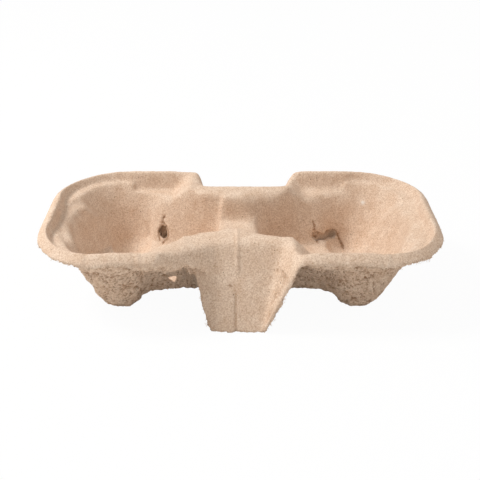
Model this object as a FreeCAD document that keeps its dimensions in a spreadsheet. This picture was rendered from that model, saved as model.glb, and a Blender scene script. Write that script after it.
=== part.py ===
import FreeCAD, Part
import os
import Sketcher

# Two-cup carrier pressed from paper pulp as one thin shell, in millimetres.
# X runs along the tray, Y from front to back, Z up. The origin is the middle of
# the tray on the plane that the feet stand on.

doc = FreeCAD.newDocument("CupCarrier")
sheet = doc.addObject("Spreadsheet::Sheet", "sizes")
sizeRows = [
    ("halfLength", 106, "half of the length over the flange"),
    ("halfDepth", 57, "half of the depth over the flange"),
    ("cornerRadius", 42, "plan radius of the outer corners"),
    ("rimHeight", 43.5, "height of the rim crest"),
    ("wall", 2.4, "thickness of the pulp"),
    ("flangeWidth", 3.5, "how far the flange reaches outside the crest"),
    ("flangeDrop", 3.4, "how far the flange hangs below the crest"),
    ("crestRound", 2, "rounding over the outside of the crest"),
    ("crestWidth", 2, "crest outline to the rim's inner face, at the top"),
    ("crestFoot", 4, "crest outline to the rim's inner face, at the ledge"),
    ("ledgeHeight", 38, "ledge inside the rim"),
    ("shoulderTop", 27, "half length of the land at the top of the tongues"),
    ("shoulderFoot", 38, "where the land's ends have fallen to the shoulders"),
    ("shoulderHeight", 33.5, "shoulder between the land and a well's corner"),
    ("landHeight", 41.7, "flat land at the top of the tongues"),
    ("foldDistance", 36.5, "middle of the tray to a tongue's top fold"),
    ("tongueReach", 56.5, "middle of the tray to a tongue's foot"),
    ("tongueFoot", 12.5, "half width of a tongue at its foot"),
    ("channelFloor", 28, "floor of the channel between the wells"),
    ("channelLow", 16, "half width of the channel at its floor"),
    ("channelHigh", 20, "half width of the channel at the rim level"),
    ("floorHeight", 9.5, "upper face of the well floors"),
    ("wellCentre", 52, "middle of the tray to the centre of a well"),
    ("wellLow", 29, "radius of a well at its floor"),
    ("wellHigh", 41, "radius of a well at the end land"),
    ("endLandHeight", 30.5, "height of the end land's inner edge"),
    ("lobeX", 62.5, "foot lobe centre along the tray"),
        ("lobeY", 19, "foot lobe centre across the tray"),
    ("lobeSlope", 31, "lean of a foot lobe's wall from upright, in degrees"),
    ("footRadius", 13, "ball radius at the bottom of a foot lobe"),
    ("footFlat", 0.5, "how much of the ball the flat under a foot takes off"),
]
for row, (alias, value, note) in enumerate(sizeRows, 1):
    sheet.set(f"A{row}", note)
    sheet.set(f"B{row}", str(value))
    sheet.setAlias(f"B{row}", alias)
doc.recompute()

tongueTilt = "atan(sizes.landHeight / (sizes.tongueReach - sizes.foldDistance))"
flangeSlope = "sizes.flangeWidth / sizes.flangeDrop"
flangeShift = "0.37"
formDepth = 15


def polygonSketch(name, corners, height):
    """corners holds pairs of expressions, height is the sketch's level"""
    sketch = doc.addObject("Sketcher::SketchObject", name)
    sketch.setExpression("Placement.Base.z", str(height))
    spots = []
    for x, y in corners:
        spots.append((float(sketch.evalExpression(x)), float(sketch.evalExpression(y))))
    for i, spot in enumerate(spots):
        following = spots[(i + 1) % len(spots)]
        start = FreeCAD.Vector(spot[0], spot[1], 0)
        end = FreeCAD.Vector(following[0], following[1], 0)
        sketch.addGeometry(Part.LineSegment(start, end))
    for i in range(len(spots)):
        sketch.addConstraint(Sketcher.Constraint("Coincident", i, 2, (i + 1) % len(spots), 1))
    for i, (x, y) in enumerate(corners):
        for kind, value, expression in (("DistanceX", spots[i][0], x), ("DistanceY", spots[i][1], y)):
            number = sketch.addConstraint(Sketcher.Constraint(kind, -1, 1, i, 1, value))
            sketch.setExpression(f"Constraints[{number}]", expression)
    return sketch


def leanToTongue(sketch, offset):
    """lay a sketch along the front tongue's face, offset out from it"""
    sketch.Placement = FreeCAD.Placement(FreeCAD.Vector(), FreeCAD.Rotation(FreeCAD.Vector(1, 0, 0), 60))
    sketch.setExpression("Placement.Rotation.Angle", tongueTilt)
    sketch.setExpression("Placement.Base.y", f"-1 * (sizes.tongueReach + ({offset}) * sin({tongueTilt}))")
    sketch.setExpression("Placement.Base.z", f"({offset}) * cos({tongueTilt})")


def loft(name, sections):
    solid = doc.addObject("Part::Loft", name)
    solid.Sections = sections
    solid.Solid = True
    solid.Ruled = True
    return solid


def frustum(name, low, high, lowLevel, highLevel):
    """low and high hold the expressions of the near end, the far end and the half depth"""
    solid = doc.addObject("Part::Wedge", name)
    solid.Placement = FreeCAD.Placement(FreeCAD.Vector(), FreeCAD.Rotation(FreeCAD.Vector(1, 0, 0), 90))
    for prefix, (near, far, half) in (("", low), ("2", high)):
        solid.setExpression(f"X{prefix}min", near)
        solid.setExpression(f"X{prefix}max", far)
        solid.setExpression(f"Z{prefix}min", f"-1 * ({half})")
        solid.setExpression(f"Z{prefix}max", half)
    solid.setExpression("Ymin", lowLevel)
    solid.setExpression("Ymax", highLevel)
    return solid


def mirrored(source, normal):
    twin = doc.addObject("Part::Mirroring", f"{source.Name}Twin")
    twin.Source = source
    twin.Normal = normal
    return twin


def rounded(source, name, picks):
    """picks holds pairs of a test for an edge and its radius"""
    doc.recompute()
    result = doc.addObject("Part::Fillet", name)
    result.Base = source
    edges = []
    for number, edge in enumerate(source.Shape.Edges, 1):
        for test, radius in picks:
            if test(edge):
                edges.append((number, radius, radius))
    result.Edges = edges
    return result


def risesSteeply(edge):
    ends = [vertex.Z for vertex in edge.Vertexes]
    return len(ends) == 2 and abs(ends[0] - ends[1]) > 5


def liesAt(height):
    return lambda edge: abs(edge.BoundBox.ZMin - height) < 0.01 and abs(edge.BoundBox.ZMax - height) < 0.01


def fromSheet(alias):
    return float(sheet.get(alias))


xAxis = FreeCAD.Vector(1, 0, 0)
yAxis = FreeCAD.Vector(0, 1, 0)


def both(source):
    return [source, mirrored(source, xAxis)]


def allFour(source):
    pair = both(source)
    return pair + [mirrored(each, yAxis) for each in pair]


def pressForm(form, share):
    """the solid below one face of the shell, share 0 for the upper face and 1 for the under face"""
    wall = f"{share} * sizes.wall"

    # The body of the form, with the flange's slope as its sides
    crestX = f"sizes.halfLength - sizes.flangeWidth - {flangeShift} * {wall}"
    crestY = f"sizes.halfDepth - sizes.flangeWidth - {flangeShift} * {wall}"
    spread = f"{flangeSlope} * (sizes.rimHeight - {wall} + {formDepth})"
    body = frustum(
        form + "Body",
        (f"-1 * ({crestX} + {spread})", f"{crestX} + {spread}", f"{crestY} + {spread}"),
        (f"-1 * ({crestX})", crestX, crestY),
        f"-{formDepth}",
        f"sizes.rimHeight - {wall}",
    )
    cornerRadius = fromSheet("cornerRadius") - fromSheet("flangeWidth")
    body = rounded(body, form + "BodyRound", [(risesSteeply, cornerRadius)])
    if share == 0:
        body = rounded(body, form + "Crest", [(liesAt(fromSheet("rimHeight")), fromSheet("crestRound"))])

    hollows = []

    # Shallow pocket inside the rim, down to the ledge, one at each end
    def pocketEnds(inset, inner, grow):
        outer = f"sizes.halfLength - sizes.flangeWidth - {inset} + {grow} * {wall}"
        side = f"sizes.halfDepth - sizes.flangeWidth - {inset} + {grow} * {wall}"
        return f"{inner} - {grow} * {wall}", outer, side

    pocket = frustum(
        form + "Pocket",
        pocketEnds("sizes.crestFoot", "sizes.shoulderFoot - 5", 0.8),
        pocketEnds("sizes.crestWidth", "sizes.shoulderTop", 1),
        f"sizes.ledgeHeight - {wall}",
        "sizes.rimHeight",
    )
    outerCorner = lambda edge: risesSteeply(edge) and edge.BoundBox.XMin > fromSheet("wellCentre")
    pocket = rounded(pocket, form + "PocketRound", [(outerCorner, cornerRadius - fromSheet("crestWidth"))])
    hollows += both(pocket)

    # Shoulders, where the land's ends fall away toward the corners of the well
    hollows += both(
        frustum(
            form + "Shoulder",
            (f"sizes.shoulderFoot - 0.5 * {wall}", "sizes.lobeX", f"sizes.halfDepth - 9.1 + 0.8 * {wall}"),
            (f"sizes.shoulderTop - 1.4 * {wall}", "sizes.lobeX", f"sizes.halfDepth - sizes.flangeWidth - sizes.crestWidth + {wall}"),
            f"sizes.shoulderHeight - {wall}",
            "sizes.rimHeight",
        )
    )

    # Well: half a cone at the outer end, wider over the end land
    def cone(name, lowRadius, highRadius, low, high, growLow, growHigh):
        solid = doc.addObject("Part::Cone", form + name)
        solid.Placement = FreeCAD.Placement(FreeCAD.Vector(), FreeCAD.Rotation(FreeCAD.Vector(0, 0, 1), -90))
        solid.Angle = 180
        solid.setExpression("Radius1", f"{lowRadius} + {growLow} * {wall}")
        solid.setExpression("Radius2", f"{highRadius} + {growHigh} * {wall}")
        solid.setExpression("Height", f"({high}) - ({low})")
        solid.setExpression("Placement.Base.x", "sizes.wellCentre")
        solid.setExpression("Placement.Base.z", low)
        return solid

    landTop = "sizes.ledgeHeight + 0.5"
    wellCone = cone(
        "WellCone", "sizes.wellLow", "sizes.wellHigh",
        f"sizes.floorHeight - {wall}", f"sizes.endLandHeight - 0.5 * {wall}", 0.58, 0.9,
    )
    landCone = cone(
        "LandCone", "sizes.wellHigh", "sizes.wellHigh + 7.2",
        f"sizes.endLandHeight - 0.5 * {wall}", landTop, 0.9, 1.4,
    )
    hollows += both(wellCone) + both(landCone)

    # Well: inner part with its slanting flanks beside the tongues
    def seatSketch(name, corners, grow, height):
        right = []
        for i, (x, y) in enumerate(corners):
            shift = -grow if i == 0 else 0
            right.append((f"{x} + {shift} * {wall}", f"{y} + {grow} * {wall}"))
        left = [(x, f"-1 * ({y})") for x, y in reversed(right)]
        return polygonSketch(form + name, right + left, height)

    seatHigh = seatSketch("SeatHigh", [(8.5, 23), (20, 25), (50.5, 47), (66, 47)], 1.1, "sizes.rimHeight")
    seatLow = seatSketch("SeatLow", [(14, 16), (22, 22), (47, 23.5), (66, 23.5)], 0.8, f"sizes.floorHeight - {wall}")
    hollows += both(loft(form + "Seat", [seatHigh, seatLow]))

    # Foot lobes, each a cone that ends in a ball with a flat under it
    lobeLean = "(sizes.lobeSlope * 1 deg)"
    ballRadius = f"(sizes.footRadius + {wall})"
    ballCentre = "(sizes.footRadius + sizes.wall - sizes.footFlat)"
    tangentHeight = f"({ballCentre} - {ballRadius} * sin{lobeLean})"
    tangentRadius = f"({ballRadius} * cos{lobeLean})"
    topRadius = f"({tangentRadius} + (sizes.rimHeight - {tangentHeight}) * tan{lobeLean})"
    lobe = cone("Lobe", tangentRadius, topRadius, tangentHeight, "sizes.rimHeight", 0, 0)
    steps = [f"asin(1 - sizes.footFlat / {ballRadius})", "60 deg", "45 deg", lobeLean]
    pieces = [lobe]
    for low, high in zip(steps, steps[1:]):
        lowRadius = f"{ballRadius} * cos({low})"
        highRadius = f"{ballRadius} * cos({high})"
        lowHeight = f"{ballCentre} - {ballRadius} * sin({low})"
        highHeight = f"{ballCentre} - {ballRadius} * sin({high})"
        pieces.append(cone("Ball", lowRadius, highRadius, lowHeight, highHeight, 0, 0))
    for each in pieces:
        each.Angle = 360
        each.setExpression("Placement.Base.x", "sizes.lobeX")
        each.setExpression("Placement.Base.y", "sizes.lobeY")
        hollows += allFour(each)

    # Channel between the wells
    hollows.append(
        frustum(
            form + "Channel",
            ("-25", "25", f"sizes.channelLow + 0.8 * {wall}"),
            ("-25", "25", f"sizes.channelHigh + 1.02 * {wall}"),
            f"sizes.channelFloor - {wall}",
            "sizes.rimHeight",
        )
    )

    # Land at the top of the tongues
    land = doc.addObject("Part::Box", form + "Land")
    land.setExpression("Length", f"2 * (sizes.shoulderTop + {wall})")
    land.setExpression("Width", "2 * sizes.halfDepth - 14")
    land.setExpression("Height", "10")
    land.setExpression("Placement.Base.x", f"-1 * (sizes.shoulderTop + {wall})")
    land.setExpression("Placement.Base.y", "7 - sizes.halfDepth")
    land.setExpression("Placement.Base.z", f"sizes.landHeight - {wall}")
    hollows.append(land)

    # The tongues, pressed in between their side strips
    def recess(name, leftLow, leftHigh, rightLow, rightHigh, leftFlare, rightFlare):
        sections = []
        for label, offset, share in (("In", f"-1 * {wall}", 0), ("Out", "30", 1)):
            left = share * leftFlare
            right = share * rightFlare
            corners = [
                (f"{leftLow - left} - {wall}", "-8"),
                (f"{rightLow + right} + {wall}", "-8"),
                (f"{rightHigh + right} + {wall}", "60"),
                (f"{leftHigh - left} - {wall}", "60"),
            ]
            sketch = polygonSketch(form + name + label, corners, 0)
            leanToTongue(sketch, offset)
            sections.append(sketch)
        return loft(form + name, sections)

    hollows.append(recess("FrontRecess", -27.5, -20.5, 9.5, 26.5, 30, 17))
    backRecess = recess("BackRecess", -12, -23, 10, 33.5, 7, 11)
    hollows.append(mirrored(backRecess, yAxis))

    # The left flank of each tongue turns back a little
    sections = []
    for label, offset, turn, top in (("In", f"-5 - {wall}", 15.4, 28), ("Out", f"-1 * {wall}", 0, 40)):
        edge = [(-8 - turn, -8), (max(-9 - 0.14 * top - turn, -22), top)]
        corners = [(f"-27 - {wall}", "-8")] + [(str(x), str(y)) for x, y in edge] + [(f"-23 - {wall}", str(top))]
        sketch = polygonSketch(form + "Flank" + label, corners, 0)
        leanToTongue(sketch, offset)
        sections.append(sketch)
    flank = loft(form + "Flank", sections)
    hollows += [flank, mirrored(flank, yAxis)]

    allHollows = doc.addObject("Part::MultiFuse", form + "Hollows")
    allHollows.Shapes = hollows
    result = doc.addObject("Part::Cut", form)
    result.Base = body
    result.Tool = allHollows
    return result


upper = pressForm("Upper", 0)
under = pressForm("Under", 1)
shell = doc.addObject("Part::Cut", "Shell")
shell.Base = upper
shell.Tool = under

# The edge is cut along one upright outline
outline = doc.addObject("Part::Box", "Outline")
outline.setExpression("Length", "2 * sizes.halfLength")
outline.setExpression("Width", "2 * sizes.halfDepth")
outline.setExpression("Height", "sizes.rimHeight + 5")
outline.setExpression("Placement.Base.x", "-1 * sizes.halfLength")
outline.setExpression("Placement.Base.y", "-1 * sizes.halfDepth")
outline = rounded(outline, "OutlineRound", [(risesSteeply, fromSheet("cornerRadius"))])
trimmed = doc.addObject("Part::Common", "Trimmed")
trimmed.Base = shell
trimmed.Tool = outline


# Beside each tongue the shell is cut away up to the flange
def sideCut(name, side):
    edge = [(0, -8), (0, 0), (5.5, 13)]
    level = "(sizes.shoulderHeight - sizes.wall)"
    sections = []
    for label, offset, flare, reach in (("In", "-1 * sizes.wall - 5.5", 0, 31), ("Out", "30", 8, 60)):
        top = f"({level} - ({offset}) * cos({tongueTilt})) / sin({tongueTilt})"
        corners = [(f"{side} * (sizes.tongueFoot + {x + flare})", str(s)) for x, s in edge]
        corners.append((f"{side} * (sizes.tongueFoot + {12.5 + flare})", top))
        corners.append((f"{side} * {reach}", top))
        corners.append((f"{side} * {reach}", "-8"))
        sketch = polygonSketch(name + label, corners, 0)
        leanToTongue(sketch, offset)
        sections.append(sketch)
    return loft(name, sections)


def flangeCut(name, start):
    cut = doc.addObject("Part::Box", name)
    cut.setExpression("Length", "20")
    cut.setExpression("Width", "sizes.flangeWidth + 1")
    cut.setExpression("Height", "sizes.rimHeight - sizes.flangeDrop - 0.5 * sizes.wall - sizes.shoulderHeight")
    cut.setExpression("Placement.Base.x", start)
    cut.setExpression("Placement.Base.y", "-1 * sizes.halfDepth - 1")
    cut.setExpression("Placement.Base.z", "sizes.shoulderHeight - sizes.wall - 1")
    return cut


# Where the pulp is torn through: corners as X and Z, near and far end as Y
def tear(name, near, far, corners):
    sketch = polygonSketch(name + "Edge", [(str(x), str(z)) for x, z in corners], 0)
    sketch.Placement = FreeCAD.Placement(FreeCAD.Vector(0, far, 0), FreeCAD.Rotation(FreeCAD.Vector(1, 0, 0), 90))
    solid = doc.addObject("Part::Extrusion", name)
    solid.Base = sketch
    solid.DirMode = "Normal"
    solid.LengthFwd = far - near
    solid.Solid = True
    return solid


tears = [
    tear("BackRightTear", 20, 38, [
        (42.6, 11.6), (49, 9.8), (55, 8), (58.5, 9.5), (56.5, 12), (52, 11.6), (48.5, 13), (45.5, 14), (44, 19), (43, 14.5)
    ]),
    tear("BackLeftTear", 21, 38, [(-45.4, 11.6), (-42.6, 12), (-41.8, 15.5), (-43.6, 20.5), (-46.2, 15.5)]),
    tear("FrontLeftTear", -34, -20, [(-38.4, 16.8), (-34.6, 12.4), (-32.2, 15.8)]),
    tear("FrontRightTear", -34, -20, [(36.9, 15.9), (38.4, 13.4), (39.9, 15.2)]),
]

cuts = []
for cut in (
    sideCut("LeftCut", -1),
    sideCut("RightCut", 1),
    flangeCut("LeftFlangeCut", "-45.5"),
    flangeCut("RightFlangeCut", "29"),
):
    cuts += [cut, mirrored(cut, yAxis)]
allCuts = doc.addObject("Part::MultiFuse", "SideCuts")
allCuts.Shapes = cuts + tears
carrier = doc.addObject("Part::Cut", "Carrier")
carrier.Base = trimmed
carrier.Tool = allCuts
carrier.Label = "cup_carrier"
doc.recompute()

for each in doc.Objects:
    if "Invalid" in each.State or "Error" in each.State:
        raise RuntimeError(f"{each.Name} did not build: {each.State}")
    if each.isDerivedFrom("Part::Feature") and (each.Shape.isNull() or not each.Shape.isValid()):
        raise RuntimeError(f"{each.Name} has no sound shape")
print("solids", len(carrier.Shape.Solids), "volume", round(carrier.Shape.Volume), carrier.Shape.BoundBox)

os.makedirs("parts", exist_ok=True)
carrier.Shape.exportStep("parts/cup_carrier.step")
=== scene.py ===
import math

import bmesh
import bpy
import numpy as np
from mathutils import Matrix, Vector, noise


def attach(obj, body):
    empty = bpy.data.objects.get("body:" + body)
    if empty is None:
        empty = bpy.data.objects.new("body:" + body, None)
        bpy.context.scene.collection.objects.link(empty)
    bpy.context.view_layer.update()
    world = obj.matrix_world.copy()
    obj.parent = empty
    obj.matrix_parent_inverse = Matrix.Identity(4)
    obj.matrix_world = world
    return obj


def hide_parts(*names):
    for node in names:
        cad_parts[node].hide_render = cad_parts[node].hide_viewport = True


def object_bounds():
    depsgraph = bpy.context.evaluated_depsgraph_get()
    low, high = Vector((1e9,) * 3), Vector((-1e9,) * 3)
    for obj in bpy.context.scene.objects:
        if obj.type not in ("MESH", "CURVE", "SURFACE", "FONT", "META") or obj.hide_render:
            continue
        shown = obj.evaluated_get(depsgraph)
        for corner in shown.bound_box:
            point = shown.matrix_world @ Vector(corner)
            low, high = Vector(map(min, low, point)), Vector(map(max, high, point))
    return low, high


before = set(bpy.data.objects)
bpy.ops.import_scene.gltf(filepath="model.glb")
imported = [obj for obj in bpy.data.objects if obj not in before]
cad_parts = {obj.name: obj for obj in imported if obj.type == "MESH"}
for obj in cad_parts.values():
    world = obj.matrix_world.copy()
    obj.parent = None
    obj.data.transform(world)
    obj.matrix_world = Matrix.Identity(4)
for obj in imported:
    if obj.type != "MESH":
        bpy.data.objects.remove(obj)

# Two-cup carrier pressed from paper pulp. The frame's single node is copied, its folds are
# rounded and its skin gets the grain, wrinkles and torn fibres of real pulp.

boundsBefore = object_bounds()
mm = 0.001
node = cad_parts["cup_carrier"]
scene = bpy.context.scene


def linearColour(code):
    parts = [int(code[i:i + 2], 16) / 255 for i in (1, 3, 5)]
    return [p / 12.92 if p <= 0.04045 else ((p + 0.055) / 1.055) ** 2.4 for p in parts] + [1]


def addNode(tree, kind, settings=None, inputs=None, links=()):
    # settings are the node's own properties, inputs its plain socket values
    made = tree.nodes.new(kind)
    for name, value in (settings or {}).items():
        setattr(made, name, value)
    for name, value in (inputs or {}).items():
        made.inputs[name].default_value = value
    for source, target in links:
        tree.links.new(source, made.inputs[target])
    return made


# Moulded pulp: paper fibre drained on a wire form and oven dried. Quite matt, warm and
# light, faintly mottled and grainy, with a few dark specks.
pulp = {
    "light": "#F2DCC6",
    "mid": "#E4C9B0",
    "dark": "#AE8361",
    # painted shade for creases, cracks, the groove and torn layers, and also the colour of the dark specks
    "shadeAndSpeck": "#8E6646",
    "pale": "#F6EEE4",
    "speck": "#6B4630",
    "mottleSize": 7.0,          # mm, soft cloudiness of the dried sheet
    "mottleRange": (0.32, 0.68),
    "grainSize": 0.75,          # mm, clumps of fibre
    "grainRange": (0.38, 0.68),
    "grainShare": 0.65,
    "speckSize": 2.4,           # mm between possible dark specks of bark
    "speckShade": 0.78,         # random shade above which a speck is drawn
    "speckRadius": 0.1,         # share of speckSize
    "fibreSize": 0.45,          # mm, width and height of the bump. Real fibres are finer
    "roughness": 0.93,
    "specular": 0.18,
    "ior": 1.45,
    "bump": 0.8,
}


def pulpMaterial():
    material = bpy.data.materials.new("mouldedPulp")
    material.use_nodes = True
    tree = material.node_tree
    tree.nodes.clear()
    at = addNode(tree, "ShaderNodeTexCoord").outputs["Object"]
    mottle = addNode(tree, "ShaderNodeTexNoise", inputs={
        "Scale": 1 / (pulp["mottleSize"] * mm), "Detail": 4, "Roughness": 0.6}, links=[(at, "Vector")])
    grain = addNode(tree, "ShaderNodeTexNoise", inputs={
        "Scale": 1 / (pulp["grainSize"] * mm), "Detail": 3, "Roughness": 0.65}, links=[(at, "Vector")])
    mottleLow, mottleHigh = pulp["mottleRange"]
    mottleRamp = addNode(tree, "ShaderNodeMapRange", inputs={
        "From Min": mottleLow, "From Max": mottleHigh}, links=[(mottle.outputs[0], "Value")])
    grainLow, grainHigh = pulp["grainRange"]
    grainRamp = addNode(tree, "ShaderNodeMapRange", inputs={
        "From Min": grainLow, "From Max": grainHigh}, links=[(grain.outputs[0], "Value")])
    grainShare = addNode(tree, "ShaderNodeMath", {"operation": "MULTIPLY"}, {1: pulp["grainShare"]}, [
        (grainRamp.outputs[0], 0)])
    # this attribute holds painted shade, high in the cracks, wrinkle creases, the tongue's groove and
    # between torn layers, and also the tongue's real dark specks; pale is high on a bleached crumb
    shadeAndSpeck = addNode(tree, "ShaderNodeAttribute", {"attribute_name": "shadeAndSpeck"})
    pale = addNode(tree, "ShaderNodeAttribute", {"attribute_name": "pale"})
    specks = addNode(tree, "ShaderNodeTexVoronoi", inputs={
        "Scale": 1 / (pulp["speckSize"] * mm), "Randomness": 1}, links=[(at, "Vector")])
    chosen = addNode(tree, "ShaderNodeMath", {"operation": "GREATER_THAN"}, {1: pulp["speckShade"]}, [
        (specks.outputs["Color"], 0)])
    near = addNode(tree, "ShaderNodeMath", {"operation": "LESS_THAN"}, {1: pulp["speckRadius"]}, [
        (specks.outputs["Distance"], 0)])
    speck = addNode(tree, "ShaderNodeMath", {"operation": "MULTIPLY"}, links=[
        (chosen.outputs[0], 0), (near.outputs[0], 1)])
    # each layer covers the ones before it; one of them is painted shade in creases, cracks, the groove and
    # torn layers, shared with the tongue's dark specks
    colour = addNode(tree, "ShaderNodeMix", {"data_type": "RGBA"}, {
        6: linearColour(pulp["mid"]), 7: linearColour(pulp["light"])}, [(mottleRamp.outputs[0], "Factor")])
    for share, name in ((grainShare.outputs[0], "dark"), (shadeAndSpeck.outputs["Fac"], "shadeAndSpeck"),
                        (pale.outputs["Fac"], "pale"), (speck.outputs[0], "speck")):
        colour = addNode(tree, "ShaderNodeMix", {"data_type": "RGBA"}, {7: linearColour(pulp[name])}, [
            (share, "Factor"), (colour.outputs[2], 6)])
    fine = addNode(tree, "ShaderNodeTexNoise", inputs={
        "Scale": 1 / (pulp["fibreSize"] * mm), "Detail": 2, "Roughness": 0.6}, links=[(at, "Vector")])
    bump = addNode(tree, "ShaderNodeBump", inputs={
        "Strength": pulp["bump"], "Distance": pulp["fibreSize"] * mm}, links=[(fine.outputs[0], "Height")])
    skin = addNode(tree, "ShaderNodeBsdfPrincipled", inputs={
        "Roughness": pulp["roughness"], "Specular IOR Level": pulp["specular"], "IOR": pulp["ior"]},
        links=[(colour.outputs[2], "Base Color"), (bump.outputs[0], "Normal")])
    addNode(tree, "ShaderNodeOutputMaterial", links=[(skin.outputs[0], "Surface")])
    return material


# The tray: voxels join and round the solid's faces, then the skin is worked over. In mm
# where no note says otherwise, and a pair is where a soft zone begins and where it ends
tray = {
    "voxel": 0.72,
    "weld": 0.002,
    "triangles": 186000,
    # the flange hangs low round the corners and stands out there, as along the sides
    "cornerPlace": (64, 15),
    "cornerRadius": 42,
    "cornerFade": 0.7,          # power, lower for a longer corner
    "cornerDrop": 4.6,
    "dropZone": (0.5, 6),
    "cornerBulge": 2.2,
    "backBulge": 1.4,           # times the front's
    "bulgeZone": (6, 30),
    # the land inside each end is flatter than the wall below it, with a crisp edge between
    "wellCentre": 52,
    "wellRadius": 41,
    "landEdge": 4.5,
    "landLift": 4.2,
    "landRing": (41, 48.5),
    "landLength": (56, 66),
    "landHeight": (18, 26),
    "landSide": (18, 32),
    # the feet stand further out than in the solid
    "footSplay": 6.5,
    "splayHeight": (2, 34),
    "splaySide": (4, 22),
    "splayLength": (42, 54),
    # the left end is a little smaller than the right one
    "leftShrink": 0.02,         # share
    "shrinkLength": (0, 106),
    # rounds of smoothing over the whole shell
    "soften": 7,
    # and more where the land, channel and tongues fold, less along the crease on the left
    "foldSoften": 55,
    "foldLength": (31, 40),
    "foldHeight": (20, 27),
    "channelLength": (24, 30),
    "channelHeight": (10, 16),
    "channelShare": 0.6,
    "creaseSide": -3,
    "creaseReach": 34,
    "creaseShare": 0.25,
    # and where the foot lobes run into the wells' flanks, mostly on the right
    "flankSoften": 45,
    "flankInner": (30, 36),
    "flankOuter": (66, 76),
    "flankHeight": (8, 14),
    "flankTop": (35, 38),
    "flankSide": (14, 20),
    "leftFlankShare": 0.12,
    # and where the channel opens into the right well
    "mouthSoften": 150,
    "mouthInner": (3, 7),
    "mouthOuter": (20, 26),
    "mouthHeight": (22, 27),
    "mouthSide": (8, 13),
    "mouthBack": (28, 33),
    # noise over the skin: largest lumps in mm, octaves and seed
    "coarse": (5.0, 3, 1),
    "fine": (1.6, 2, 2),
    "ridges": (4.4, 2, 3),
    # wrinkles outside the wells and grain on the upper faces, heights in mm
    "below": (-0.05, 0.25),     # of the downward part of the normal
    "wrinkleHeight": 1.0,
    "outsideMix": (0.5, 0.8, 0.4, 0.3),     # coarse, creases, ridges and fine
    "insideMix": (0.6, 0.9),        # coarse and fine
    "creaseWidth": (0.14, 0.12),    # in the coarse noise and in the ridges
    "creaseDepth": (6, 5),
    "grainHeight": 0.13,
    # raised fold line and sunk groove down the middle of the front tongue, in mm
    "fold": {"x": -0.4, "width": 0.7, "height": 0.6, "zone": (24, 30), "front": 0},
    "groove": {"x": -1.4, "width": 0.6, "depth": 0.45, "zone": (16, 22), "front": -36},
    # cut edges beside the tongues are frayed into layers
    "fray": 0.5,                # mm
    "cutSide": (0.72, 0.92),    # of the sideways part of the normal
    "cutLength": (12, 32),
    "cutBack": 38,
    "cutTop": 31,
    "tongueFoot": 56.5,
    "tongueLean": (0.902, 0.432),   # cosine and sine
    "layerThickness": 0.95,
    # the flange's lower edge is ragged
    "ragged": 0.45,             # mm
    "underside": (0.2, 0.6),    # of the downward part of the normal
    "flangeLow": (32, 35),
    "flangeHigh": (40, 42),
    # drying left upright dents in the front rim
    "dentWidth": 0.7,
    "rimFront": -50,
    "rimHeight": (35, 38),
    "crackWidth": 0.55,
    "crackDepth": 0.7,
    "crackBack": 18,
    "speckArea": 0.35,          # square mm
    "speckFront": -34,
    # how dark each mark is painted: painted shade along the wrinkle creases, in the cracks, in the
    # tongue's groove and between the frayed layers, and the specks' own dark colour
    "shadeLineWidth": (0.06, 0.06),     # of lines in the coarse noise and in the ridges
    "wrinkleShade": (18, 0.85),     # strength and most
    "crackShade": 0.9,
    "grooveShade": 0.5,
    "layerShade": 0.6,
    "speckStain": 0.95,
}

# Small marks, in mm: dents as place along the rim and depth, specks as place and height
rimDents = [(-74, 0.35), (-50.5, 0.4), (-47, 0.3), (48, 0.3), (51.5, 0.35), (70.5, 0.3), (75, 0.35)]
tongueSpecks = [(-3.7, 21.8), (19.6, 29.5)]
# Cracks that run on from the tears in the wells' back walls, as X and Z along each
cracks = [
    [(43.4, 21.5), (44.6, 18.0), (43.8, 13.0), (46.0, 10.5)],
    [(56.0, 12.0), (58.5, 11.0), (60.0, 7.5), (62.4, 3.4)],
    [(-43.4, 23.5), (-44.4, 20.0), (-46.6, 15.0), (-46.0, 11.0)],
    [(-43.6, 20.5), (-41.0, 17.0), (-41.2, 12.5), (-44.0, 10.6)],
]
crumb = {"place": (73.3, 41.0, 28.4), "radius": 1.3, "height": 0.5}

# Where the front rim runs over into the tongue on the left. Each row is one place along
# the rim: X, then Y and Z of the flange's edge, of the crest and of the well's edge, in mm
rimRun = [
    (-49, (-57.0, 37.4), (-53.6, 43.2), (-46.2, 38.0)),
    (-43.5, (-56.8, 37.2), (-53.4, 43.2), (-42.6, 39.4)),
    (-40, (-56.0, 36.8), (-52.6, 43.0), (-40.0, 40.8)),
    (-35, (-53.6, 36.0), (-50.2, 42.6), (-36.4, 41.6)),
    (-30, (-51.8, 35.0), (-48.4, 42.1), (-33.0, 41.7)),
    (-25, (-49.4, 33.0), (-45.4, 41.6), (-30.0, 41.6)),
    (-20, (-46.8, 30.4), (-42.2, 41.3), (-27.0, 41.4)),
    (-15, (-45.0, 27.0), (-39.2, 41.3), (-26.0, 41.3)),
    (-11, (-44.3, 25.8), (-36.8, 41.4), (-25.0, 41.2)),
]
rimRunThickness = 2.4
rimRunSlant = 0.8           # the under face is set back by this share of the thickness
rimRunFoot = (1.4, 6.5)     # mm, how far in and down its last edge reaches the well's flank

# Flaps of pulp that hang behind the tears: corners as X, Y and Z in mm
tornFlaps = [
    [(-48.5, 33.0, 15.5), (-45.5, 35.6, 22.5), (-42.0, 35.4, 23.0),
     (-40.2, 32.9, 15.0), (-41.5, 29.8, 9.0), (-46.8, 29.6, 8.6)],
    [(41.6, 29.4, 17.0), (49.0, 33.0, 15.4), (58.6, 38.0, 12.4),
     (60.4, 36.6, 4.6), (50.0, 30.6, 4.2), (42.0, 26.6, 7.4)],
]
flapThickness = 1.7
flapSag = 0.4               # mm, how much lower its back face hangs


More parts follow.
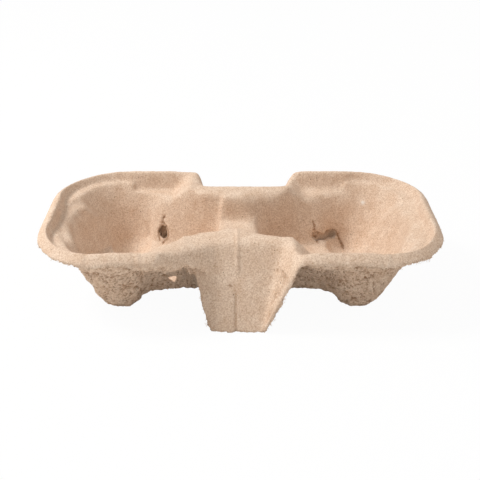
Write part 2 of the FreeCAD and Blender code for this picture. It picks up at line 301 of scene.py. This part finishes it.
def slab(top, bottom, rows):
    # closed solid between two grids of points with the same rows
    columns = len(top) // rows
    points = list(top) + list(bottom)
    under = len(top)
    faces = []
    for i in range(rows - 1):
        for j in range(columns - 1):
            a = i * columns + j
            quad = (a, a + 1, a + columns + 1, a + columns)
            faces.append(quad)
            faces.append(tuple(under + k for k in reversed(quad)))
    ring = list(range(columns))
    ring += [i * columns + columns - 1 for i in range(1, rows)]
    ring += [(rows - 1) * columns + j for j in range(columns - 2, -1, -1)]
    ring += [i * columns for i in range(rows - 2, 0, -1)]
    for k, here in enumerate(ring):
        following = ring[(k + 1) % len(ring)]
        faces.append((following, here, under + here, under + following))
    return points, faces


def addSolid(shape, points, faces):
    made = [shape.verts.new(Vector(p) * mm) for p in points]
    newFaces = [shape.faces.new([made[i] for i in face]) for face in faces]
    bmesh.ops.recalc_face_normals(shape, faces=newFaces)


def trayMesh():
    source = node.data.copy()
    shape = bpy.data.objects.new("trayDraft", source)
    scene.collection.objects.link(shape)
    shape.matrix_world = node.matrix_world.copy()
    bpy.context.view_layer.update()
    source.transform(shape.matrix_world)
    shape.matrix_world.identity()
    joined = bmesh.new()
    joined.from_mesh(source)
    top, bottom = [], []
    for x, *places in rimRun:
        wellEdge = places[-1]
        places.append((wellEdge[0] + rimRunFoot[0], wellEdge[1] - rimRunFoot[1]))
        for y, z in places:
            top.append((x, y, z))
            bottom.append((x, y + rimRunSlant * rimRunThickness, z - rimRunThickness))
    addSolid(joined, *slab(top, bottom, len(rimRun)))
    for corners in tornFlaps:
        back = [(x, y + flapThickness, z - flapSag) for x, y, z in corners]
        count = len(corners)
        faces = [tuple(range(count)), tuple(range(2 * count - 1, count - 1, -1))]
        faces += [((i + 1) % count, i, i + count, (i + 1) % count + count) for i in range(count)]
        addSolid(joined, corners + back, faces)
    joined.to_mesh(source)
    joined.free()
    weld = shape.modifiers.new("weld", "WELD")
    weld.merge_threshold = tray["weld"] * mm
    remesh = shape.modifiers.new("voxels", "REMESH")
    remesh.mode = "VOXEL"
    remesh.voxel_size = tray["voxel"] * mm
    result = bpy.data.meshes.new_from_object(shape.evaluated_get(bpy.context.evaluated_depsgraph_get()))
    bpy.data.objects.remove(shape)
    return result


def valuesOf(items, name, width, kind=np.float64):
    flat = np.empty(len(items) * width, dtype=kind)
    items.foreach_get(name, flat)
    return flat.reshape(-1, width)


def smoothed(points, edges, rounds, weight):
    # moves each point toward the mean of its neighbours, weight says how much
    count = np.bincount(edges.ravel(), minlength=len(points))[:, None]
    for _ in range(rounds):
        total = np.zeros_like(points)
        for axis in range(3):
            total[:, axis] = (np.bincount(edges[:, 0], points[edges[:, 1], axis], len(points))
                              + np.bincount(edges[:, 1], points[edges[:, 0], axis], len(points)))
        points = points + weight[:, None] * 0.5 * (total / np.maximum(count, 1) - points)
    return points


def rising(values, zone):
    # soft step from 0 to 1 over a zone
    low, high = zone
    t = np.clip((values - low) / (high - low), 0, 1)
    return t * t * (3 - 2 * t)


def falling(values, zone):
    return 1 - rising(values, zone)


def hump(values, middle, width):
    return np.exp(-((values - middle) / width) ** 2)


def lines(field, width):
    # thin winding lines where the noise passes 0
    return np.maximum(0, width - np.abs(field))


def mixed(shares, fields):
    return sum(share * field for share, field in zip(shares, fields))


def sampled(points, size, octaves, seed):
    # fractal noise about 0, its largest lumps size mm across
    shift = Vector((seed * 3.1, seed * 1.7, seed * 2.3))
    scale = 1 / (size * mm)
    return np.array([noise.fractal(Vector(p) * scale + shift, 1.0, 2.1, octaves) for p in points])


def driedShape(points):
    # moves the solid's form to that of the dried tray, in millimetres
    x, y, z = (points / mm).T
    side, front = np.sign(x), np.sign(y)
    cornerX, cornerY = tray["cornerPlace"]
    outX, outY = np.abs(x) - cornerX, np.abs(y) - cornerY
    reach = np.hypot(outX, outY)
    turn = np.where((outX > 0) & (outY > 0), np.sin(2 * np.arctan2(outY, outX)), 0)
    turn = np.clip(turn, 0, 1) ** tray["cornerFade"]
    inward = tray["cornerRadius"] - reach
    z = z - tray["cornerDrop"] * turn * falling(inward, tray["dropZone"])
    bulge = tray["cornerBulge"] * np.where(y > 0, tray["backBulge"], 1) * turn
    bulge = bulge * falling(inward, tray["bulgeZone"])
    x = x + side * bulge * np.clip(outX, 0, None) / np.maximum(reach, 1)
    y = y + front * bulge * np.clip(outY, 0, None) / np.maximum(reach, 1)
    wellReach = np.hypot(np.abs(x) - tray["wellCentre"], y)
    wellSide = hump(wellReach, tray["wellRadius"], tray["landEdge"])
    landShare = np.where(wellReach < tray["wellRadius"], wellSide, falling(wellReach, tray["landRing"]))
    rise = tray["landLift"] * landShare * rising(np.abs(x), tray["landLength"])
    z = z + rise * rising(z, tray["landHeight"]) * falling(np.abs(y), tray["landSide"])
    splay = tray["footSplay"] * falling(z, tray["splayHeight"]) * rising(np.abs(y), tray["splaySide"])
    y = y + front * splay * rising(np.abs(x), tray["splayLength"])
    x = x * (1 - tray["leftShrink"] * rising(-x, tray["shrinkLength"]))
    return np.column_stack((x, y, z)) * mm


def largestPart(mesh):
    # drops closed hollows that the voxels left inside the wall
    ends = valuesOf(mesh.edges, "vertices", 2, np.int32)
    label = np.arange(len(mesh.vertices))
    while True:
        low = np.minimum(label[ends[:, 0]], label[ends[:, 1]])
        following = label.copy()
        np.minimum.at(following, ends[:, 0], low)
        np.minimum.at(following, ends[:, 1], low)
        following = following[following]
        if np.array_equal(following, label):
            break
        label = following
    names, counts = np.unique(label, return_counts=True)
    kept = names[np.argmax(counts)]
    if len(names) > 1:
        shape = bmesh.new()
        shape.from_mesh(mesh)
        shape.verts.ensure_lookup_table()
        stray = [shape.verts[i] for i in np.flatnonzero(label != kept)]
        bmesh.ops.delete(shape, geom=stray, context="VERTS")
        shape.to_mesh(mesh)
        shape.free()


def softFolds(points, edges):
    # rounds of smoothing, each over its own zone
    x, y, z = (points / mm).T
    fromMiddle, fromAxis = np.abs(x), np.abs(y)
    folds = falling(fromMiddle, tray["foldLength"]) * rising(z, tray["foldHeight"])
    channel = falling(fromMiddle, tray["channelLength"]) * rising(z, tray["channelHeight"])
    folds = np.maximum(folds, channel * tray["channelShare"])
    crease = (x < tray["creaseSide"]) & (fromAxis < tray["creaseReach"])
    folds = folds * np.where(crease, tray["creaseShare"], 1)
    flank = rising(fromMiddle, tray["flankInner"]) * falling(fromMiddle, tray["flankOuter"])
    flank = flank * rising(z, tray["flankHeight"]) * rising(fromAxis, tray["flankSide"])
    flank = flank * falling(z, tray["flankTop"]) * np.where(x > 0, 1, tray["leftFlankShare"])
    mouth = rising(x, tray["mouthInner"]) * falling(x, tray["mouthOuter"]) * rising(z, tray["mouthHeight"])
    mouth = mouth * rising(fromAxis, tray["mouthSide"]) * falling(fromAxis, tray["mouthBack"])
    everywhere = np.ones(len(points))
    for share, rounds in ((everywhere, "soften"), (folds, "foldSoften"),
                          (flank, "flankSoften"), (mouth, "mouthSoften")):
        points = smoothed(points, edges, tray[rounds], share)
    return points


def crackLines(x, z, waver):
    # 1 along each crack, fading to 0 beside it
    share = np.zeros(len(x))
    for line in cracks:
        for (startX, startZ), (endX, endZ) in zip(line, line[1:]):
            alongX, alongZ = endX - startX, endZ - startZ
            along = (x - startX) * alongX + (z - startZ) * alongZ
            along = np.clip(along / (alongX ** 2 + alongZ ** 2), 0, 1)
            away = np.hypot(x - startX - along * alongX, z - startZ - along * alongZ)
            share = np.maximum(share, hump(away + waver, 0, tray["crackWidth"]))
    return share


def workedSkin(mesh):
    edges = valuesOf(mesh.edges, "vertices", 2, np.int32)
    points = softFolds(driedShape(valuesOf(mesh.vertices, "co", 3)), edges)
    mesh.vertices.foreach_set("co", points.ravel())
    mesh.update()
    normals = valuesOf(mesh.vertices, "normal", 3)
    x, y, z = (points / mm).T
    below = rising(-normals[:, 2], tray["below"])
    above = 1 - below
    coarse = sampled(points, *tray["coarse"])
    fine = sampled(points, *tray["fine"])
    ridges = sampled(points, *tray["ridges"])

    coarseWidth, ridgeWidth = tray["creaseWidth"]
    coarseDepth, ridgeDepth = tray["creaseDepth"]
    crease = -lines(coarse, coarseWidth) * coarseDepth - lines(ridges, ridgeWidth) * ridgeDepth
    outside = tray["wrinkleHeight"] * mixed(tray["outsideMix"], (coarse, crease, ridges, fine))
    inside = tray["grainHeight"] * mixed(tray["insideMix"], (coarse, fine))
    lift = below * outside + above * inside

    fold, groove = tray["fold"], tray["groove"]
    foldLine = hump(x, fold["x"], fold["width"]) * rising(z, fold["zone"]) * (y < fold["front"])
    grooveLine = hump(x, groove["x"], groove["width"]) * falling(z, groove["zone"]) * (y < groove["front"])
    foldLine = foldLine * (1 - below * 0.3) * (normals[:, 2] > -0.2)
    lift = lift + fold["height"] * foldLine - groove["depth"] * grooveLine

    cutStart, cutEnd = tray["cutLength"]
    besideTongue = (np.abs(y) > tray["cutBack"]) * (z < tray["cutTop"])
    besideTongue = besideTongue * (np.abs(x) > cutStart) * (np.abs(x) < cutEnd)
    cutFace = rising(np.abs(normals[:, 0]), tray["cutSide"]) * besideTongue
    leanY, leanZ = tray["tongueLean"]
    depth = leanY * (tray["tongueFoot"] - np.abs(y)) - leanZ * z        # into the sheet
    layers = np.sin(2 * np.pi * depth / tray["layerThickness"] + 3 * fine) * 0.5 + coarse
    lift = lift + tray["fray"] * cutFace * layers

    flangeEdge = rising(-normals[:, 2], tray["underside"]) * rising(z, tray["flangeLow"])
    flangeEdge = flangeEdge * falling(z, tray["flangeHigh"])
    lift = lift + tray["ragged"] * flangeEdge * coarse
    frontRim = (y < tray["rimFront"]) * rising(z, tray["rimHeight"]) * above
    for place, dentDepth in rimDents:
        lift = lift - dentDepth * hump(x, place, tray["dentWidth"]) * frontRim

    speck = np.zeros(len(points))
    for place, height in tongueSpecks:
        away = (x - place) ** 2 + (z - height) ** 2
        speck += hump(away, 0, tray["speckArea"]) * (y < tray["speckFront"]) * above
    crack = crackLines(x, z, 0.5 * fine) * (y > tray["crackBack"]) * (normals[:, 2] > -0.1)
    crumbShare = hump(((points / mm - np.array(crumb["place"])) ** 2).sum(1), 0, crumb["radius"] ** 2)
    lift = lift - tray["crackDepth"] * crack
    lift = lift + crumb["height"] * crumbShare
    points = points + normals * (lift * mm)[:, None]
    mesh.vertices.foreach_set("co", points.ravel())

    # painted shade: the colour darkens along the bottoms of the wrinkle creases on the downward faces, in
    # the cracks, in the tongue's groove and in the sunk frayed layers; the tongue's specks are real dark
    # marks kept in the same attribute
    coarseWidth, ridgeWidth = tray["shadeLineWidth"]
    strength, most = tray["wrinkleShade"]
    wrinkleLines = lines(coarse, coarseWidth) + 0.9 * lines(ridges, ridgeWidth)
    shadeAndSpeck = np.clip(below * wrinkleLines * strength, 0, most)
    for shadeAndSpeckKey, share in (("crackShade", crack), ("grooveShade", grooveLine),
                         ("layerShade", cutFace * (layers < -0.2)), ("speckStain", speck)):
        shadeAndSpeck = np.maximum(shadeAndSpeck, tray[shadeAndSpeckKey] * share)
    torn = np.clip(np.maximum(np.maximum(cutFace, crack), 0.5 * flangeEdge), 0, 1)
    for name, values in (("shadeAndSpeck", shadeAndSpeck), ("torn", torn), ("pale", crumbShare)):
        attribute = mesh.attributes.new(name, "FLOAT", "POINT")
        attribute.data.foreach_set("value", values.astype(np.float32))
    mesh.update()


def lighter(mesh, name):
    # collapses flat stretches until the piece is within its triangles
    shape = bpy.data.objects.new("trayHeavy", mesh)
    scene.collection.objects.link(shape)
    mesh.calc_loop_triangles()
    count = len(mesh.loop_triangles)
    if count > tray["triangles"]:
        collapse = shape.modifiers.new("collapse", "DECIMATE")
        collapse.ratio = tray["triangles"] / count
    bpy.context.view_layer.update()
    result = bpy.data.meshes.new_from_object(shape.evaluated_get(bpy.context.evaluated_depsgraph_get()))
    result.name = name
    bpy.data.objects.remove(shape)
    return result


print("tray: voxels")
draftMesh = trayMesh()
print("tray: skin", len(draftMesh.vertices), "points")
largestPart(draftMesh)
workedSkin(draftMesh)
finalMesh = lighter(draftMesh, "pulpTray")
for face in finalMesh.polygons:
    face.use_smooth = True
pulpTray = bpy.data.objects.new("pulpTray", finalMesh)
scene.collection.objects.link(pulpTray)
finalMesh.materials.clear()
finalMesh.materials.append(pulpMaterial())
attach(pulpTray, "root")
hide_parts("cup_carrier")

# Single paper fibres that stand off the cut and torn edges. Real ones are about 0.03 mm
# thick, drawn coarser here so that they show
fibres = {
    "density": 9.0e5,           # in a square metre of torn edge
    "length": 1.5 * mm,
    "thickness": 0.07 * mm,
    "lengths": (0.4, 1.3),      # shortest and longest, as a share of the length
    "bend": 0.7,                # radians off the skin's normal
    "seed": 4,
    "colour": "#E9CFB3",
    "roughness": 0.9,
    "specular": 0.2,
}


def fibreTree():
    tree = bpy.data.node_groups.new("tornFibres", "GeometryNodeTree")
    face = tree.interface
    face.new_socket("Geometry", in_out="INPUT", socket_type="NodeSocketGeometry")
    names = {}
    for name, kind in (("Density", "Float"), ("Length", "Float"), ("Thickness", "Float"),
                       ("Seed", "Int"), ("Material", "Material")):
        made = face.new_socket(name, in_out="INPUT", socket_type="NodeSocket" + kind)
        names[name] = made.identifier
    face.new_socket("Geometry", in_out="OUTPUT", socket_type="NodeSocketGeometry")
    given = addNode(tree, "NodeGroupInput").outputs
    torn = addNode(tree, "GeometryNodeInputNamedAttribute", {"data_type": "FLOAT"}, {"Name": "torn"})
    density = addNode(tree, "ShaderNodeMath", {"operation": "MULTIPLY"}, links=[
        (given["Density"], 0), (torn.outputs["Attribute"], 1)])
    scatter = addNode(tree, "GeometryNodeDistributePointsOnFaces", links=[
        (given["Geometry"], "Mesh"), (density.outputs[0], "Density"), (given["Seed"], "Seed")])
    # one fibre of length 1, bent over at its tip
    spine = addNode(tree, "GeometryNodeCurveQuadraticBezier", inputs={
        "Resolution": 4, "Start": (0, 0, 0), "Middle": (0.05, 0.1, 0.55), "End": (0.55, 0.1, 0.7)})
    slim = addNode(tree, "ShaderNodeMath", {"operation": "DIVIDE"}, links=[
        (given["Thickness"], 0), (given["Length"], 1)])
    ring = addNode(tree, "GeometryNodeCurvePrimitiveCircle", inputs={"Resolution": 3}, links=[
        (slim.outputs[0], "Radius")])
    fibre = addNode(tree, "GeometryNodeCurveToMesh", inputs={"Fill Caps": True}, links=[
        (spine.outputs[0], "Curve"), (ring.outputs[0], "Profile Curve")])
    bend = fibres["bend"]
    spin = addNode(tree, "FunctionNodeRandomValue", {"data_type": "FLOAT_VECTOR"}, {
        0: (-bend, -bend, 0), 1: (bend, bend, 2 * math.pi)}, [(given["Seed"], "Seed")])
    turned = addNode(tree, "FunctionNodeRotateRotation", {"rotation_space": "LOCAL"}, links=[
        (scatter.outputs["Rotation"], "Rotation"), (spin.outputs[0], "Rotate By")])
    shortest, longest = fibres["lengths"]
    vary = addNode(tree, "FunctionNodeRandomValue", {"data_type": "FLOAT"}, {
        2: shortest, 3: longest}, [(given["Seed"], "Seed")])
    size = addNode(tree, "ShaderNodeMath", {"operation": "MULTIPLY"}, links=[
        (vary.outputs[1], 0), (given["Length"], 1)])
    placed = addNode(tree, "GeometryNodeInstanceOnPoints", links=[
        (scatter.outputs["Points"], "Points"), (fibre.outputs[0], "Instance"),
        (turned.outputs[0], "Rotation"), (size.outputs[0], "Scale")])
    whole = addNode(tree, "GeometryNodeRealizeInstances", links=[(placed.outputs[0], "Geometry")])
    painted = addNode(tree, "GeometryNodeSetMaterial", links=[
        (whole.outputs[0], "Geometry"), (given["Material"], "Material")])
    addNode(tree, "NodeGroupOutput", links=[(painted.outputs[0], 0)])
    return tree, names


# Paper fibre: an unbleached cellulose thread, matt and of about the sheet's colour
fibreMaterial = bpy.data.materials.new("paperFibre")
fibreMaterial.use_nodes = True
fibreSkin = fibreMaterial.node_tree.nodes["Principled BSDF"]
fibreSkin.inputs["Base Color"].default_value = linearColour(fibres["colour"])
fibreSkin.inputs["Roughness"].default_value = fibres["roughness"]
fibreSkin.inputs["Specular IOR Level"].default_value = fibres["specular"]

print("fibres on the torn edges")
grower = bpy.data.objects.new("fibreGrower", finalMesh.copy())
scene.collection.objects.link(grower)
growth = grower.modifiers.new("fibres", "NODES")
growth.node_group, socketNames = fibreTree()
for name in ("Density", "Length", "Thickness", "Seed"):
    growth[socketNames[name]] = fibres[name.lower()]
growth[socketNames["Material"]] = fibreMaterial
bpy.context.view_layer.update()
fibreMesh = bpy.data.meshes.new_from_object(grower.evaluated_get(bpy.context.evaluated_depsgraph_get()))
bpy.data.objects.remove(grower)
fibreMesh.name = "tornFibres"
fibreMesh.materials.clear()
fibreMesh.materials.append(fibreMaterial)
print("fibres:", len(fibreMesh.polygons), "faces")
tornFibres = bpy.data.objects.new("tornFibres", fibreMesh)
scene.collection.objects.link(tornFibres)
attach(tornFibres, "root")

# Stage: white to the camera and in reflections, a plain pale floor to everything else
stage = {
    "floorSize": 6.0,           # metres
    "floorGap": 0.05 * mm,
    "floorColour": "#F0EEEB",
    "whiteShare": 0.96,         # the rest of the floor shows the tray's soft shadow
    "worldColour": "#FFFFFF",
    "worldStrength": 0.52,
}


def seenRay(tree):
    # 1 for rays from the camera, also in a reflection or through something clear
    ray = addNode(tree, "ShaderNodeLightPath").outputs
    either = addNode(tree, "ShaderNodeMath", {"operation": "MAXIMUM"}, links=[
        (ray["Is Camera Ray"], 0), (ray["Is Glossy Ray"], 1)])
    seen = addNode(tree, "ShaderNodeMath", {"operation": "MAXIMUM"}, links=[
        (either.outputs[0], 0), (ray["Is Transmission Ray"], 1)])
    return seen.outputs[0]


def stageMaterial():
    material = bpy.data.materials.new("paleFloor")
    material.use_nodes = True
    tree = material.node_tree
    tree.nodes.clear()
    matt = addNode(tree, "ShaderNodeBsdfDiffuse", inputs={"Color": linearColour(stage["floorColour"])})
    white = addNode(tree, "ShaderNodeEmission", inputs={"Color": [1, 1, 1, 1], "Strength": 1})
    share = addNode(tree, "ShaderNodeMath", {"operation": "MULTIPLY"}, {1: stage["whiteShare"]}, [
        (seenRay(tree), 0)])
    both = addNode(tree, "ShaderNodeMixShader", links=[
        (share.outputs[0], 0), (matt.outputs[0], 1), (white.outputs[0], 2)])
    addNode(tree, "ShaderNodeOutputMaterial", links=[(both.outputs[0], "Surface")])
    return material


half = stage["floorSize"] / 2
floorCorners = [(-half, -half, 0), (half, -half, 0), (half, half, 0), (-half, half, 0)]
floorMesh = bpy.data.meshes.new("floor")
floorMesh.from_pydata(floorCorners, [], [(0, 1, 2, 3)])
floor = bpy.data.objects.new("floor", floorMesh)
floor.location.z = boundsBefore[0][2] - stage["floorGap"]
scene.collection.objects.link(floor)
floorMesh.materials.append(stageMaterial())

world = bpy.data.worlds.new("studio")
scene.world = world
world.use_nodes = True
worldTree = world.node_tree
worldTree.nodes.clear()
worldLight = addNode(worldTree, "ShaderNodeBackground", inputs={
    "Color": linearColour(stage["worldColour"]), "Strength": stage["worldStrength"]})
worldWhite = addNode(worldTree, "ShaderNodeBackground", inputs={"Color": [1, 1, 1, 1], "Strength": 1})
worldBoth = addNode(worldTree, "ShaderNodeMixShader", links=[
    (seenRay(worldTree), 0), (worldLight.outputs[0], 1), (worldWhite.outputs[0], 2)])
addNode(worldTree, "ShaderNodeOutputWorld", links=[(worldBoth.outputs[0], "Surface")])

# Lamps: a small key from the left and above, a weak broad fill from the right
lamps = {
    "key": {"place": (-0.85, 0.05, 1.05), "size": 0.4, "power": 14.0},
    "fill": {"place": (0.9, -0.2, 0.7), "size": 0.7, "power": 1.0},
}
lampAim = Vector((0, 0, 0.02))
for name, values in lamps.items():
    lamp = bpy.data.lights.new(name, "AREA")
    lamp.shape = "DISK"
    lamp.size = values["size"]
    lamp.energy = values["power"]
    holder = bpy.data.objects.new(name, lamp)
    holder.location = values["place"]
    holder.rotation_euler = (lampAim - holder.location).to_track_quat("-Z", "Y").to_euler()
    scene.collection.objects.link(holder)

# Camera, as the photograph was taken
shot = {
    "distance": 480 * mm,
    "elevation": 27.0,          # degrees above the level
    "aimHeight": 20 * mm,
    "lens": 65.25,
    "sensor": 36,
    "shiftX": 0.0035,
    "shiftY": 0.0142,
    "nearest": 10 * mm,
}
cameraData = bpy.data.cameras.new("camera")
cameraData.lens = shot["lens"]
cameraData.sensor_width = shot["sensor"]
cameraData.shift_x = shot["shiftX"]
cameraData.shift_y = shot["shiftY"]
cameraData.clip_start = shot["nearest"]
camera = bpy.data.objects.new("camera", cameraData)
elevation = math.radians(shot["elevation"])
cameraHeight = shot["aimHeight"] + shot["distance"] * math.sin(elevation)
camera.location = (0, -shot["distance"] * math.cos(elevation), cameraHeight)
camera.rotation_euler = (math.pi / 2 - elevation, 0, 0)
scene.collection.objects.link(camera)
scene.camera = camera
scene.view_settings.view_transform = "Standard"

print("stage and camera are set")
